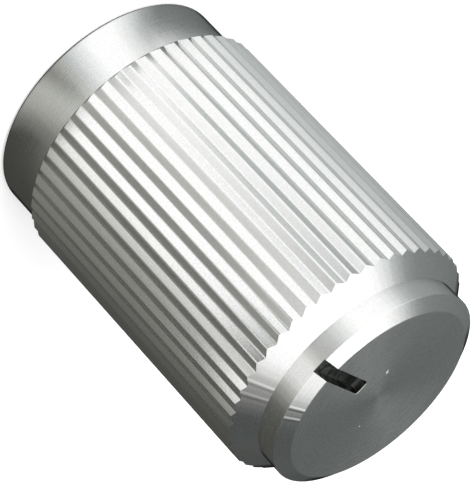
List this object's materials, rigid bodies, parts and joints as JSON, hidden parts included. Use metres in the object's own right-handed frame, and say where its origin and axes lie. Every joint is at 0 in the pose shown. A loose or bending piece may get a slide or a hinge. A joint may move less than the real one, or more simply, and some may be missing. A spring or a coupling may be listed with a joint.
{
  "type": "rotary knob",
  "caption": "Solid turned aluminium control knob with a plain collar, straight-knurled grip, chamfered nose with a black indicator slot, and a blind shaft bore.",
  "frame": {"origin": "centre of the flat seating face at the collar end, on the knob's axis", "axes": "+Z along the knob's axis from the seating face to the indicator face, -Y towards the indicator slot, +Y towards the set screw, +X to the right of the indicator seen from the -Y side"},
  "size_m": [0.016, 0.016, 0.025],
  "materials": {
    "turned_aluminium": "bare, fine-turned",
    "black_enamel": "brushed-in enamel, glossy",
    "black_oxide_steel": "black oxide, lightly oiled"
  },
  "bodies": {
    "root": {"knob_body": "turned_aluminium", "indicator_enamel": "black_enamel", "set_screw": "black_oxide_steel"}
  },
  "joints": []
}
